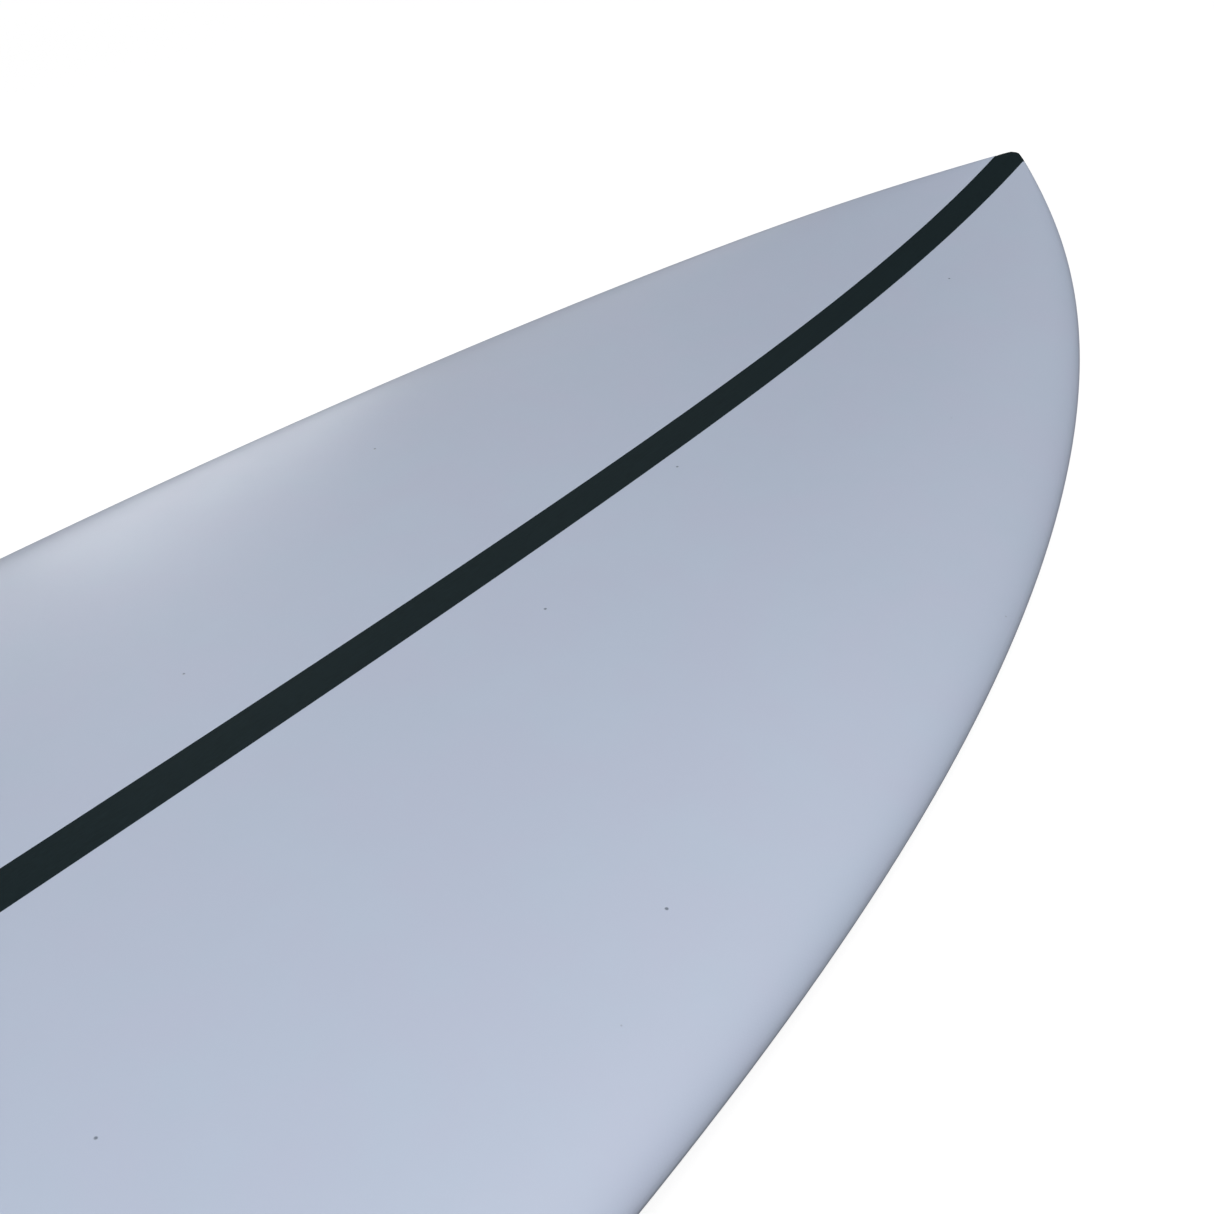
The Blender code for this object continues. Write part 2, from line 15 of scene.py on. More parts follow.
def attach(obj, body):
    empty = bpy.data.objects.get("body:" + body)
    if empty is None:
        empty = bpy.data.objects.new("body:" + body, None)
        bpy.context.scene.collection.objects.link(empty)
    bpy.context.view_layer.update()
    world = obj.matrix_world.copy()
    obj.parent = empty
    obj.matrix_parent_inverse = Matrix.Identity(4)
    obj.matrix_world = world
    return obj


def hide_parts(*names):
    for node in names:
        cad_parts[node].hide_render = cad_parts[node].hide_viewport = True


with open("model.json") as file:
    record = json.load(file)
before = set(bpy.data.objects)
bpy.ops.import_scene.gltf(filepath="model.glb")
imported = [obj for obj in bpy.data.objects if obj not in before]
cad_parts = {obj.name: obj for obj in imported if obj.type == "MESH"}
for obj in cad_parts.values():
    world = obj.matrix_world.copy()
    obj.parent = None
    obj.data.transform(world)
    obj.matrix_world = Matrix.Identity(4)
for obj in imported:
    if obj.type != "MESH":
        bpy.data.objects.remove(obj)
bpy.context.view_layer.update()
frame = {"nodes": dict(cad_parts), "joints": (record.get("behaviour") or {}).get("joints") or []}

# Hull
LENGTH = 1.930
HALF_WIDTH = 0.2656
WIDE_POINT = 0.900
NOSE_POWER, NOSE_FULLNESS = 2.35, 0.737
NOSE_PINCH, PINCH_LENGTH = 0.326, 0.044
TAIL_POWER, TAIL_FULLNESS = 2.4, 0.55
NOSE_ROCKER, NOSE_CURVE, FLAT_FRONT = 0.0946, 2.60, 1.071
NOSE_FLIP, FLIP_LENGTH = 0.0305, 0.145
TAIL_ROCKER, TAIL_CURVE, FLAT_BACK = 0.055, 2.3, 1.100
THICKNESS, TIP_THICKNESS = 0.067, 0.004
THICK_POINT = 1.000
FOIL_POWER, NOSE_FOIL_FULLNESS, TAIL_FOIL_FULLNESS = 2.3, 0.97, 0.75
DECK_POWER = 2.3
BELLY_POWER, TAIL_BELLY_POWER = 5.0, 7.0
NOSE_SQUARENESS, SQUARE_LENGTH = 7.0, 0.18
APEX_SHARE, TAIL_APEX_SHARE = 0.42, 0.34
RAIL_CHANGE = (1.0, 1.8)
TIP_ROUND = 0.0025

# Laminates and strips
SKIN = 0.0016
STRIP_HALF_WIDTH, STRIP_DEPTH = 0.0105, 0.0006
BOTTOM_STRIP_END = 1.715
# The strips fill the very tips, and the laminates turn hollow a little further in
NUB_END, NUB_FADE, NUB_DEPTH = 0.009, 0.005, 0.02
HOLLOW_START, HOLLOW_FADE = 0.016, 0.02
WEB = 0.00015
# The inner face's least inset as a share of SKIN, and its least width as a share of the outer one
LEAST_INSET, LEAST_INNER_WIDTH = 0.2, 0.3
CHANNEL_END = 0.0001
SPANS = 200
LOBE_STEPS, STRIP_STEPS, INNER_STEPS = 40, 8, 30
SLOPE_STEP, LEAST_SPAN = 1e-4, 1e-5
TIP_SEARCH, HALVINGS = 0.1, 50
MERGE_DISTANCE, SLIVER = 2e-6, 1e-7

# Fins and boxes; a box lies in its own frame, +X towards the nose, +Z into the board
SIDE_FIN_STATION, SIDE_FIN_OFFSET = 1.595, 0.166
CENTRE_FIN_STATION = 1.786
FIN_TOE, FIN_CANT = radians(3.0), radians(6.0)
BOX_HALF_LENGTH, BOX_HALF_WIDTH, BOX_DEPTH = 0.059, 0.0135, 0.0145
BOX_RECESS = 0.0003
GAP = 0.0003
TAB_OFFSET, TAB_LENGTH, TAB_THICKNESS, TAB_DEPTH = 0.033, 0.024, 0.0065, 0.0115
SCREW_TILT, SCREW_ENTRY = radians(32.0), 0.0086
SCREW_RADIUS, SCREW_POINT_RADIUS, SCREW_LENGTH, SCREW_POINT = 0.0024, 0.0012, 0.0070, 0.0020
SCREW_SUNK, BORE_RADIUS = 0.0006, 0.0029
HEX_RADIUS, HEX_DEPTH = 0.0014, 0.0022
FIN_BASE, FIN_HEIGHT, FIN_SWEEP, FIN_FOIL = 0.110, 0.115, 0.077, 0.062
# The chord's outline, its least length and the foil's least half thickness as a share of the greatest
FIN_TAPER, FIN_NARROWING, FIN_RAKE = 0.5, 0.3, 1.35
FIN_TIP, FIN_EDGE = 0.006, 0.04
FIN_ROWS, FOIL_SIDES = 60, 32

# Plugs
LEASH_STATION, LEASH_OFFSET = 1.840, 0.042
LEASH_RIM, LEASH_FLANGE, LEASH_BODY, LEASH_DEPTH = 0.016, 0.0012, 0.014, 0.0145
LEASH_BORE, LEASH_FLOOR = 0.0105, 0.0120
BAR_RADIUS, BAR_DEPTH, BAR_SOCKET = 0.002, 0.0045, 0.0022
VENT_STATION, VENT_OFFSET = 1.480, -0.040
VENT_RIM, VENT_FLANGE, VENT_BODY, VENT_DEPTH = 0.011, 0.0014, 0.008, 0.013
VENT_SEAT_RADIUS, VENT_SEAT_DEPTH, VENT_BORE = 0.0063, 0.0043, 0.0040
VENT_HEAD_RADIUS, VENT_HEAD, VENT_SHANK, VENT_SCREW_LENGTH = 0.0059, 0.0018, 0.0035, 0.0105
COIN_SLOT_WIDTH, COIN_SLOT_DEPTH = 0.0016, 0.0011
SEAL_MINOR = 0.0008

# Finer details that only the looks have; shares are of an edge's size, a socket's or the bar's radius
BOX_EDGE, TAB_CORNER, PLUG_EDGE = 0.0004, 0.0010, 0.0004
EDGE_MIDDLE, LEAST_CORNER, HEX_CHAMFER, HEX_CONE, BAR_EDGE = 0.3, 0.2, 0.15, 0.3, 0.3
EDGE_STEPS, CORNER_STEPS, STADIUM_STEPS = 3, 6, 16
TURNED_SIDES, BORE_SIDES, SOCKET_SIDES, RIM_SIDES = 64, 48, 32, 96
SHARP, FIN_SHARP, STEEL_SHARP = radians(30.0), radians(40.0), radians(50.0)
SCREW_PITCH, THREAD_DEPTH, THREAD_SIDES, THREAD_ROWS = 0.0008, 0.00035, 40, 10
BAR_CLEARANCE = 0.0004
SEAM = 0.0002
REACH = 0.004

# Materials: colours are linear red, green and blue
NOISE_LOW, NOISE_HIGH = 0.3, 0.7
LAMINATE_COLOUR = (0.425, 0.484, 0.597)
LAMINATE_ROUGHNESS, LAMINATE_SPECULAR = 0.42, 0.65
CLOTH_PITCH = 0.0009
MOTTLE_WARM = (1.03, 0.985, 1.0)
PINHOLE_SPACING, PINHOLE_RADIUS = 0.037, 0.0009
# Painted shade: the dark colour put inside the pinholes' sunk pits
PINHOLE_SHADE_COLOUR = (0.16, 0.19, 0.24)
STRIP_COLOUR, STRIP_SPECULAR = (0.0075, 0.0150, 0.0175), 0.06
FIN_COLOUR, FIN_CLOTH_PITCH = (0.016, 0.019, 0.022), 0.002
BOX_COLOUR, BOX_ROUGHNESS = (0.020, 0.021, 0.023), 0.45
PLUG_COLOUR, PLUG_ROUGHNESS = (0.016, 0.017, 0.019), 0.40
VENT_COLOUR, VENT_ROUGHNESS = (0.024, 0.026, 0.028), 0.42
STEEL_COLOUR = (0.58, 0.58, 0.57)
# How often a mark repeats in a metre along each axis
SCREW_MARKS, BAR_MARKS = (900.0, 900.0, 4000.0), (1800.0, 60.0, 1800.0)
FOAM_COLOUR = (0.86, 0.86, 0.84)
DENSE_FOAM_COLOUR = (0.70, 0.62, 0.42)
FOAM_BEAD, DENSE_FOAM_CELL = 0.0032, 0.0008
RUBBER_COLOUR = (0.012, 0.012, 0.013)

# Stage
FLOOR_SIZE, FLOOR_DROP = 60.0, 0.0005
FLOOR_SEEN, FLOOR_GLOW = (0.30, 0.30, 0.30), 0.80
FLOOR_FADE_START, FLOOR_FADE_END = 1.2, 3.5
FLOOR_BOUNCE = (0.18, 0.18, 0.18)
WORLD_SEEN, WORLD_LIGHT = 1.0, 0.1
LIGHT_TARGET = Vector((0.3, 0.0, 0.08))
# Name, compass angle from +X towards +Y, elevation, distance, side length and watts
SOFTBOXES = (
    ("tail_right", 225.0, 50.0, 2.6, 1.6, 55.3),
    ("overhead_right", 270.0, 70.0, 2.6, 1.2, 9.1),
    ("nose_right", 315.0, 50.0, 2.6, 1.6, 7.9),
    ("tail", 180.0, 50.0, 2.6, 1.6, 7.6),
    ("nose", 0.0, 50.0, 2.6, 1.6, 5.3),
    ("low_left_tail", 80.0, 8.0, 3.0, 0.8, 5.0),
    ("low_left", 60.0, 8.0, 3.0, 0.8, 7.7),
    ("low_left_nose", 40.0, 8.0, 3.0, 0.8, 1.8),
)

# Camera, in the board frame
CAMERA_PLACE = (-1.0517, -0.4798, 0.4971)
CAMERA_LOOK = (0.64876, 0.52802, -0.54799)
CAMERA_ROLL = radians(-1.83)
CAMERA_LENS, CAMERA_SENSOR = 48.97, 36.0
CAMERA_CLIP = (0.01, 100.0)


# Shape of the hull

def swell(share, power, fullness):
    """Rise from 0 at a tip (share 0) to 1 at the fullest station (share 1)."""
    return max(1.0 - (1.0 - share) ** power, 0.0) ** fullness


def half_width(station):
    """Half the outline's width."""
    if station < WIDE_POINT:
        rise = swell(station / WIDE_POINT, NOSE_POWER, NOSE_FULLNESS)
        return HALF_WIDTH * rise * (1.0 - NOSE_PINCH * exp(-station / PINCH_LENGTH))
    return HALF_WIDTH * swell((LENGTH - station) / (LENGTH - WIDE_POINT), TAIL_POWER, TAIL_FULLNESS)


def rocker(station):
    """Height of the bottom's centre line."""
    flip = NOSE_FLIP * exp(-station / FLIP_LENGTH)
    if station < FLAT_FRONT:
        return flip + NOSE_ROCKER * (1.0 - station / FLAT_FRONT) ** NOSE_CURVE
    if station > FLAT_BACK:
        return flip + TAIL_ROCKER * ((station - FLAT_BACK) / (LENGTH - FLAT_BACK)) ** TAIL_CURVE
    return flip


def thickness(station):
    """Thickness on the centre line."""
    if station < THICK_POINT:
        rise = swell(station / THICK_POINT, FOIL_POWER, NOSE_FOIL_FULLNESS)
    else:
        rise = swell((LENGTH - station) / (LENGTH - THICK_POINT), FOIL_POWER, TAIL_FOIL_FULLNESS)
    return TIP_THICKNESS + (THICKNESS - TIP_THICKNESS) * rise


def tip_rounding(station):
    """Share of the section's height left where the blunt edge is rounded at nose and tail."""
    edge = min(station, LENGTH - station) / TIP_ROUND
    return sqrt(1.0 - (1.0 - min(edge, 1.0)) ** 2)


def fade(value, start, length):
    """Smooth rise from 0 to 1 over a length."""
    share = min(max((value - start) / length, 0.0), 1.0)
    return share * share * (3.0 - 2.0 * share)


def rail_blend(station, front, back):
    """Smooth change of a rail value from its front to its tail amount."""
    return front + (back - front) * fade(station, RAIL_CHANGE[0], RAIL_CHANGE[1] - RAIL_CHANGE[0])


def apex_height(station):
    """Height of the rail's outermost line above the bottom's centre line."""
    return thickness(station) * rail_blend(station, APEX_SHARE, TAIL_APEX_SHARE)


def deck_power(station):
    """Power of the deck's section: a higher one is flatter, with a fuller rail."""
    return DECK_POWER + NOSE_SQUARENESS * exp(-station / SQUARE_LENGTH)


def belly_power(station):
    """Power of the bottom's section."""
    power = rail_blend(station, BELLY_POWER, TAIL_BELLY_POWER)
    return power + NOSE_SQUARENESS * exp(-station / SQUARE_LENGTH)


def slope(function, place):
    """Rate of change of a shape function."""
    return (function(place + SLOPE_STEP) - function(place - SLOPE_STEP)) / (2.0 * SLOPE_STEP)


def deck_height(station, across):
    """Height of the deck at a distance from the centre line."""
    rise = sqrt(1.0 - abs(across / half_width(station)) ** deck_power(station))
    apex = apex_height(station)
    return rocker(station) + apex + (thickness(station) - apex) * rise


def belly_height(station, across):
    """Height of the bottom at a distance from the centre line."""
    drop = sqrt(1.0 - abs(across / half_width(station)) ** belly_power(station))
    return rocker(station) + apex_height(station) * (1.0 - drop)


class Half:
    """Deck half (side 1) or bottom half (side -1) of the hull at one station."""

    def __init__(self, station, side):
        self.station = station
        self.side = side
        self.width = half_width(station)
        self.apex = rocker(station) + apex_height(station)
        lower = apex_height(station)
        height = thickness(station) - lower if side > 0 else lower
        self.height = height * tip_rounding(station)
        self.power = deck_power(station) if side > 0 else belly_power(station)

    def point(self, angle, depth=0.0):
        """Point on the surface; angle 0 is the left rail and pi the right, depth is measured in Z."""
        across = copysign(abs(cos(angle)) ** (2.0 / self.power), cos(angle)) * self.width
        up = max(sin(angle) * self.height - depth, 0.0)
        return (-self.station, across, self.apex + self.side * up)

    def strip_angle(self):
        """Angle of the strip's left edge, or 0 where the hull is no wider than the strip."""
        if self.width <= STRIP_HALF_WIDTH:
            return 0.0
        return atan2(sqrt(1.0 - (STRIP_HALF_WIDTH / self.width) ** self.power),
                     (STRIP_HALF_WIDTH / self.width) ** (self.power / 2.0))

    def inner(self, angle):
        """Point on the laminate's inner face, flat on the parting plane where the tip is solid."""
        hollow = fade(self.station, HOLLOW_START, HOLLOW_FADE)
        hollow *= fade(LENGTH - self.station, HOLLOW_START, HOLLOW_FADE)
        step_in = SKIN * sqrt(1.0 + slope(half_width, self.station) ** 2) * max(hollow, LEAST_INSET)
        width = max(self.width - step_in, LEAST_INNER_WIDTH * self.width)
        across = copysign(abs(cos(angle)) ** (2.0 / self.power), cos(angle)) * width
        up = max(self.height - SKIN, 0.0) * sin(angle) * hollow
        return (-self.station, across, self.apex + self.side * up)


# Making meshes

def frame_from_vent():
    """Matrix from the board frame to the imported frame, from where the vent screw's joint lies."""
    joint = next(j for j in frame["joints"] if j["name"] == "vent_plug_screw_turn")
    drawn = deck_frame(VENT_STATION, VENT_OFFSET)
    normal = drawn.to_3x3() @ Vector((0.0, 0.0, 1.0))
    axis = Vector(joint["axis"])
    pitch = atan2(axis.x, axis.z) - atan2(normal.x, normal.z)
    turn = Matrix.Rotation(pitch, 4, "Y")
    return Matrix.Translation(Vector(joint["pos_m"]) - turn @ drawn.translation) @ turn


def deck_frame(station, across):
    """Frame on the deck: +X towards the nose, +Z out of the board, square to the deck."""
    fall = slope(lambda along: deck_height(along, across), station)
    lean = slope(lambda aside: deck_height(station, aside), across)
    place = Matrix.Translation((-station, across, deck_height(station, across)))
    return place @ Matrix.Rotation(atan(fall), 4, "Y") @ Matrix.Rotation(atan(lean), 4, "X")


def belly_frame(station, across, toe, cant):
    """Frame on the bottom: +X along the box towards the nose, +Z into the board."""
    pitch = atan(slope(rocker, station))
    place = Matrix.Translation((-station, across, belly_height(station, across)))
    turn = Matrix.Rotation(toe, 4, "Z") @ Matrix.Rotation(pitch, 4, "Y") @ Matrix.Rotation(cant, 4, "X")
    return place @ turn @ Matrix.Translation((0.0, 0.0, BOX_RECESS))


def new_object(name, mesh, place=None):
    """Object on a mesh that is drawn in the board frame, or in a frame placed in it."""
    mesh.transform(BOARD @ (place or Matrix.Identity(4)))
    thing = bpy.data.objects.new(name, mesh)
    bpy.context.scene.collection.objects.link(thing)
    return thing


def mesh_from(name, points, faces):
    """Clean closed mesh: points that meet are merged, faces that vanish go, normals face out."""
    shape = bmesh.new()
    corners = [shape.verts.new(point) for point in points]
    for face in faces:
        shape.faces.new([corners[i] for i in face])
    bmesh.ops.remove_doubles(shape, verts=shape.verts, dist=MERGE_DISTANCE)
    bmesh.ops.dissolve_degenerate(shape, edges=shape.edges, dist=SLIVER)
    bmesh.ops.recalc_face_normals(shape, faces=shape.faces)
    mesh = bpy.data.meshes.new(name)
    shape.to_mesh(mesh)
    shape.free()
    return mesh


def loft(name, rings):
    """Closed mesh through a row of rings of equal length, capped at both ends."""
    count = len(rings[0])
    points = [point for ring in rings for point in ring]
    faces = [tuple(range(count)), tuple(range(len(points) - count, len(points)))]
    for row in range(len(rings) - 1):
        for i in range(count):
            j = (i + 1) % count
            near, far = row * count, (row + 1) * count
            faces.append((near + i, near + j, far + j, far + i))
    return mesh_from(name, points, faces)


def smooth(thing, sharp=SHARP):
    """Shade smooth, with creases kept."""
    thing.data.shade_smooth()
    thing.data.set_sharp_from_angle(angle=sharp)


def apply_modifiers(thing):
    """Turn an object's modifiers into its mesh."""
    bpy.context.view_layer.update()
    evaluated = thing.evaluated_get(bpy.context.evaluated_depsgraph_get())
    mesh = bpy.data.meshes.new_from_object(evaluated)
    thing.modifiers.clear()
    thing.data = mesh


def combine(thing, others, operation):
    """Subtract other objects' solids from one, or add them to it, and discard them."""
    for other in others:
        modifier = thing.modifiers.new(other.name, "BOOLEAN")
        modifier.operation = operation
        modifier.solver = "EXACT"
        modifier.object = other
    apply_modifiers(thing)
    for other in others:
        bpy.data.objects.remove(other)


def cut(thing, cutters):
    """Cut holes into an object, and discard the cutters."""
    combine(thing, cutters, "DIFFERENCE")


def prism(name, outline, low, high):
    """Upright block on a flat outline of (x, y) points."""
    return loft(name, [[(x, y, z) for x, y in outline] for z in (low, high)])


def circle(radius, sides):
    """Outline of a circle."""
    angles = [2.0 * pi * i / sides for i in range(sides)]
    return [(radius * cos(angle), radius * sin(angle)) for angle in angles]


def rectangle(length, width):
    """Outline of a rectangle."""
    x, y = length / 2, width / 2
    return [(-x, -y), (x, -y), (x, y), (-x, y)]


def round_outline(length, width, radius, x=0.0, segments=CORNER_STEPS):
    """Rectangle with round corners, centred at x; the radius of half the width makes a stadium."""
    outline = []
    corners = ((1, 1, 0.0), (-1, 1, 0.5), (-1, -1, 1.0), (1, -1, 1.5))
    for sx, sy, start in corners:
        for i in range(segments + 1):
            angle = pi * (start + 0.5 * i / segments)
            outline.append((x + sx * (length / 2 - radius) + radius * cos(angle),
                            sy * (width / 2 - radius) + radius * sin(angle)))
    return outline


def turned(name, profile, closed):
    """Mesh turned about Z from (radius, z) points."""
    sides = TURNED_SIDES
    points = [(x, y, z) for radius, z in profile for x, y in circle(radius, sides)]
    faces = []
    for row in range(len(profile) if closed else len(profile) - 1):
        near, far = row * sides, (row + 1) % len(profile) * sides
        for i in range(sides):
            j = (i + 1) % sides
            faces.append((near + i, near + j, far + j, far + i))
    return mesh_from(name, points, faces)


# Hull: laminates and strips

def stations_between(start, end):
    """Stations from start to end, close together at the tips of the board."""
    rows = [LENGTH * (1.0 - cos(pi * i / SPANS)) / 2.0 for i in range(SPANS + 1)]
    return [start] + [row for row in rows if start + LEAST_SPAN < row < end - LEAST_SPAN] + [end]


def width_crossing(wanted, low, high):
    """Station between two others where the half width is a wanted value."""
    rising = half_width(high) > half_width(low)
    for _ in range(HALVINGS):
        middle = (low + high) / 2.0
        if (half_width(middle) < wanted) == rising:
            low = middle
        else:
            high = middle
    return (low + high) / 2.0


def strip_depth(station):
    """Depth of the strip: thin along the board, the whole half at its very tips."""
    tip_distance = min(station, LENGTH - station)
    return STRIP_DEPTH + NUB_DEPTH * (1.0 - fade(tip_distance, NUB_END, NUB_FADE))


def laminate_ring(station, side, strip_end):
    """Section of a laminate: outer face with the strip's channel in it, then the inner face."""
    half = Half(station, side)
    edge = half.strip_angle()
    depth = strip_depth(station) if station <= strip_end else 0.0
    lobe = [edge * i / LOBE_STEPS for i in range(LOBE_STEPS + 1)]
    floor = [edge + (pi - 2.0 * edge) * i / STRIP_STEPS for i in range(STRIP_STEPS + 1)]
    ring = [half.point(angle) for angle in lobe]
    for angle in floor:
        x, y, z = half.point(angle, depth)
        if abs(z - half.apex) < WEB:
            z = half.apex + side * WEB
        ring.append((x, y, z))
    ring += [half.point(pi - angle) for angle in reversed(lobe)]
    ring += [half.inner(pi - pi * i / INNER_STEPS) for i in range(INNER_STEPS + 1)]
    return ring


def strip_ring(station, side):
    """Section of a stringer strip: its outer face, then its underside."""
    half = Half(station, side)
    edge = half.strip_angle()
    angles = [edge + (pi - 2.0 * edge) * i / STRIP_STEPS for i in range(STRIP_STEPS + 1)]
    depth = strip_depth(station)
    top = [half.point(angle) for angle in angles]
    return top + [half.point(angle, depth) for angle in reversed(angles)]


def make_hull():
    """Both laminates and both strips, as closed solids with exactly shared edges."""
    nose_start = width_crossing(STRIP_HALF_WIDTH, 0.0, TIP_SEARCH)
    tail_end = width_crossing(STRIP_HALF_WIDTH, LENGTH - TIP_SEARCH, LENGTH)
    skins = []
    for side, label, strip_end in ((1, "deck", LENGTH), (-1, "bottom", BOTTOM_STRIP_END)):
        skin_end = tail_end if side > 0 else LENGTH
        rows = stations_between(nose_start, skin_end)
        if side < 0:
            rows = sorted(rows + [strip_end, strip_end + CHANNEL_END])
        rings = [laminate_ring(station, side, strip_end) for station in rows]
        skin = new_object(f"{label}_laminate", loft(f"{label}_laminate", rings))
        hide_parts(f"{label}_skin")
        rows = sorted(stations_between(0.0, strip_end) + [nose_start])
        rings = [strip_ring(station, side) for station in rows]
        strip = new_object(f"{label}_strip", loft(f"{label}_strip", rings))
        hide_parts(f"{label}_stringer_strip")
        strip.data.materials.append(materials["strip"])
        smooth(strip)
        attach(strip, "board")
        skins.append(skin)
    return skins


# Fins, boxes and screws

def screw_frame(x, side):
    """Frame of a grub screw's mouth on the box face: its bore runs along -Z, in under the tab."""
    place = Matrix.Translation((x, side * SCREW_ENTRY, 0.0))
    return place @ Matrix.Rotation(pi + side * SCREW_TILT, 4, "X")


def add_part(thing, node, body, material, sharp=SHARP):
    """Finish a piece, fix it to its body and hide the CAD node that it stands for."""
    thing.data.materials.append(materials[material])
    smooth(thing, sharp)
    thing.modifiers.new("flat_faces", "WEIGHTED_NORMAL").keep_sharp = True
    apply_modifiers(thing)
    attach(thing, body)
    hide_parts(node)


def flared(name, make_outline, low, high, flare):
    """Cutter for a hole whose mouth at z = 0 has a chamfered edge."""
    wide, exact = make_outline(flare), make_outline(0.0)
    rings = [(wide, low), (wide, 0.0), (exact, flare), (exact, high)]
    return loft(name, [[(x, y, z) for x, y in outline] for outline, z in rings])


def box_stadium(extra):
    """Fin box's outline, larger by a margin on every side."""
    return round_outline(2.0 * (BOX_HALF_LENGTH + extra), 2.0 * (BOX_HALF_WIDTH + extra),
                         BOX_HALF_WIDTH + extra, segments=STADIUM_STEPS)


def make_box(label, place):
    """Fin box: a stadium block with two tab pockets and two slanted screw bores."""
    soft = EDGE_MIDDLE * BOX_EDGE
    rows = [(-BOX_EDGE, 0.0), (-soft, soft), (0.0, BOX_EDGE), (0.0, BOX_DEPTH)]
    rings = [[(x, y, z) for x, y in box_stadium(extra)] for extra, z in rows]
    box = new_object(f"fin_box_{label}_shell", loft("fin_box", rings), place)
    cutters = []
    for name, x in (("front", TAB_OFFSET), ("rear", -TAB_OFFSET)):
        def pocket_outline(extra, x=x):
            return round_outline(TAB_LENGTH + 2.0 * (GAP + extra), TAB_THICKNESS + 2.0 * (GAP + extra),
                                 TAB_CORNER + extra, x)

        pocket = flared(f"pocket_{name}", pocket_outline, -REACH, TAB_DEPTH + GAP, BOX_EDGE)
        cutters.append(new_object(f"pocket_{name}", pocket, place))
        depth = SCREW_SUNK + SCREW_LENGTH + GAP
        bore = prism(f"bore_{name}", circle(BORE_RADIUS, BORE_SIDES), -depth, REACH)
        cutters.append(new_object(f"bore_{name}", bore, place @ screw_frame(x, 1)))
    cut(box, cutters)
    return box


def make_grub_screw(name, place):
    """Threaded grub screw with a cone point and a hexagon socket."""
    top = -SCREW_SUNK
    points, faces = [], []
    turns = SCREW_LENGTH / SCREW_PITCH
    rows = round(turns * THREAD_ROWS)
    for row in range(rows + 1):
        share = row / rows
        z = top - SCREW_LENGTH * share
        cone = min(1.0, (SCREW_LENGTH * (1.0 - share)) / SCREW_POINT)
        limit = SCREW_POINT_RADIUS + (SCREW_RADIUS - SCREW_POINT_RADIUS) * cone
        collar = min(1.0, share * SCREW_LENGTH / SCREW_PITCH)
        for i in range(THREAD_SIDES):
            wave = (share * turns - i / THREAD_SIDES) % 1.0
            groove = THREAD_DEPTH * (1.0 - abs(2.0 * wave - 1.0)) * collar
            radius = min(SCREW_RADIUS - groove, limit)
            angle = 2.0 * pi * i / THREAD_SIDES
            points.append((radius * cos(angle), radius * sin(angle), z))
    for row in range(rows):
        for i in range(THREAD_SIDES):
            j = (i + 1) % THREAD_SIDES
            near, far = row * THREAD_SIDES, (row + 1) * THREAD_SIDES
            faces.append((near + i, near + j, far + j, far + i))
    faces += [tuple(range(THREAD_SIDES)), tuple(range(rows * THREAD_SIDES, (rows + 1) * THREAD_SIDES))]
    screw = new_object(name, mesh_from(name, points, faces), place)

    chamfer, cone = HEX_CHAMFER * HEX_RADIUS, HEX_CONE * HEX_RADIUS
    rows = [(HEX_RADIUS + chamfer, REACH), (HEX_RADIUS + chamfer, top), (HEX_RADIUS, top - chamfer),
            (HEX_RADIUS, top - HEX_DEPTH), (cone, top - HEX_DEPTH - cone)]
    socket = loft("hex_socket", [[(x, y, z) for x, y in circle(radius, 6)] for radius, z in rows])
    cut(screw, [new_object("hex_socket", socket, place)])
    return screw


def foil_half_thickness(share):
    """Half thickness of a four-digit foil of unit thickness, at a share of its chord from the front."""
    curve = 0.2969 * sqrt(share) - 0.1260 * share - 0.3516 * share ** 2 + 0.2843 * share ** 3
    return 5.0 * (curve - 0.1015 * share ** 4)


def fin_ring(share, flat_side):
    """Fin section at a share of its height; flat_side is 1 or -1 for a flat +Y or -Y face, else 0."""
    chord = max(FIN_BASE * (1.0 - share) ** FIN_TAPER * (1.0 - FIN_NARROWING * share), FIN_TIP)
    front = chord / 2.0 - FIN_SWEEP * share ** FIN_RAKE
    flat_plane = flat_side * FIN_FOIL * FIN_BASE / 2.0
    ring = []
    for i in range(2 * FOIL_SIDES):
        side = 1.0 if i < FOIL_SIDES else -1.0
        along = (1.0 - cos(pi * i / FOIL_SIDES)) / 2.0
        half = max(foil_half_thickness(along), FIN_EDGE) * FIN_FOIL * chord
        across = flat_plane + half * (side - flat_side)
        ring.append((front - along * chord, across, -GAP - FIN_HEIGHT * share))
    return ring


def make_fin(label, flat_side, place):
    """Swept, foiled fin with two tabs."""
    shares = [sin(pi / 2.0 * i / FIN_ROWS) for i in range(FIN_ROWS + 1)]
    blade = loft("fin", [fin_ring(share, flat_side) for share in shares])
    fin = new_object(f"fin_{label}_blade", blade, place)
    soft, least = EDGE_MIDDLE * TAB_CORNER, LEAST_CORNER * TAB_CORNER
    rows = [(0.0, -2.0 * GAP), (0.0, TAB_DEPTH - TAB_CORNER),
            (soft, TAB_DEPTH - soft), (TAB_CORNER, TAB_DEPTH)]
    tabs = []
    for x in (TAB_OFFSET, -TAB_OFFSET):
        rings = []
        for inset, z in rows:
            outline = round_outline(TAB_LENGTH - 2.0 * inset, TAB_THICKNESS - 2.0 * inset,
                                    max(TAB_CORNER - inset, least), x)
            rings.append([(px, py, z) for px, py in outline])
        tabs.append(new_object("tab", loft("tab", rings), place))
    combine(fin, tabs, "UNION")
    return fin


